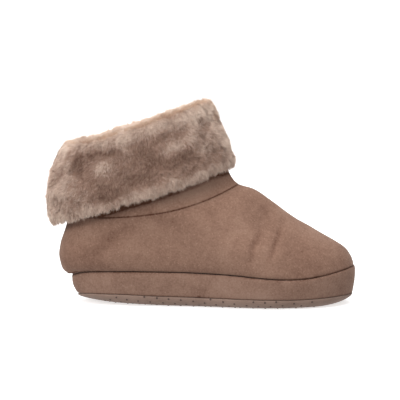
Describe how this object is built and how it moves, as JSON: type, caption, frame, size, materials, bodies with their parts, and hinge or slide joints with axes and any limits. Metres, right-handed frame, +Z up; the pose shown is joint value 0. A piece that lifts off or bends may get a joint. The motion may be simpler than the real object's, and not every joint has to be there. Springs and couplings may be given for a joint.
{
  "type": "ankle slipper",
  "caption": "Right ankle-high house slipper: suede upper on a suede-covered foam platform, with a turned-down plush cuff at the collar.",
  "frame": {"origin": "on the floor plane, under the middle of the platform's length", "axes": "+X to the toe, +Y to the inner side of the foot, +Z up"},
  "size_m": [0.2791, 0.1016, 0.1853],
  "materials": {
    "sole_cloth": "woven gripper cloth with small rubber dots",
    "wrap_suede": "matt microsuede over foam",
    "footbed_plush": "short plush over foam",
    "upper_suede": "matt microsuede, brushed nap",
    "shaft_suede": "matt microsuede, brushed nap",
    "cuff_plush": "deep plush pile, brushed in patches"
  },
  "bodies": {
    "root": {"outsole": "sole_cloth", "midsole": "wrap_suede", "insole": "footbed_plush", "upper": "upper_suede", "shaft": "shaft_suede", "cuff": "cuff_plush"}
  },
  "joints": []
}
